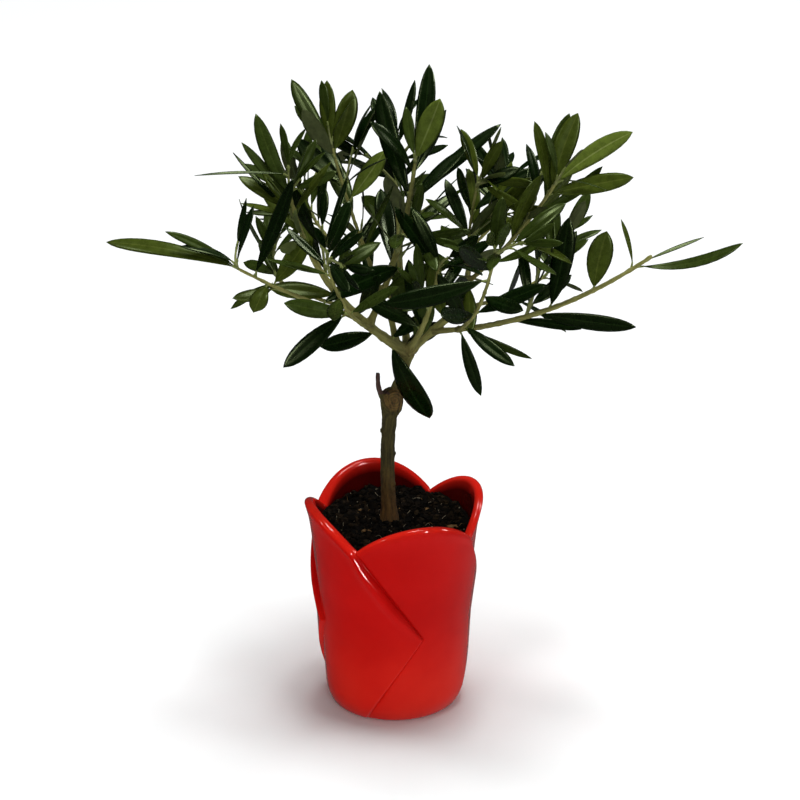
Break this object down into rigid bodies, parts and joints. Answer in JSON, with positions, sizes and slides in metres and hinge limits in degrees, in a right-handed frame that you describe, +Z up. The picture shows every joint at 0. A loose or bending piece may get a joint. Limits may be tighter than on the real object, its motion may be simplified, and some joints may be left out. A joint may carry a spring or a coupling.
{
  "type": "potted olive tree",
  "caption": "Small olive tree with a bare leaning trunk and a loose spreading crown of narrow leaves, in a red glazed pot shaped like overlapping petals.",
  "frame": {"origin": "middle of the pot's flat underside, at floor level", "axes": "+Z up, -Y towards the front of the pot, +X to the right as seen from the front"},
  "size_m": [0.3712, 0.2569, 0.4141],
  "materials": {
    "glaze": "gloss",
    "soil": "matte",
    "bark": "matte",
    "young_bark": "satin",
    "foliage": "satin"
  },
  "bodies": {
    "root": {"bough_front_left": "young_bark", "bough_front_right": "young_bark", "bough_left": "bark", "bough_left_low": "young_bark", "bough_left_rear": "young_bark", "bough_lower_right": "bark", "bough_middle": "bark", "bough_rear": "bark", "bough_rear_left": "young_bark", "bough_rear_right": "young_bark", "bough_right": "bark", "bough_right_rear": "young_bark", "bough_right_upright": "bark", "bough_upper_left": "young_bark", "bough_upper_middle": "young_bark", "bough_upper_right": "young_bark", "bough_upright": "bark", "bough_upright_root": "bark", "dead_spur": "young_bark", "foliage_centre": "foliage", "foliage_centre_left": "foliage", "foliage_centre_low": "foliage", "foliage_centre_right": "foliage", "foliage_far_left": "foliage", "foliage_far_right": "foliage", "foliage_front_left": "foliage", "foliage_front_right": "foliage", "foliage_inner_low": "foliage", "foliage_left_low": "foliage", "foliage_left_mid": "foliage", "foliage_rear_left": "foliage", "foliage_rear_right": "foliage", "foliage_rear_top": "foliage", "foliage_right": "foliage", "foliage_right_hang": "foliage", "foliage_right_low": "foliage", "foliage_right_rear": "foliage", "foliage_shoulder_left": "foliage", "foliage_top": "foliage", "foliage_upper_left": "foliage", "foliage_upper_middle": "foliage", "foliage_upper_right": "foliage", "foliage_wing_left": "foliage", "pot": "glaze", "soil": "soil", "trunk": "bark"}
  },
  "joints": []
}
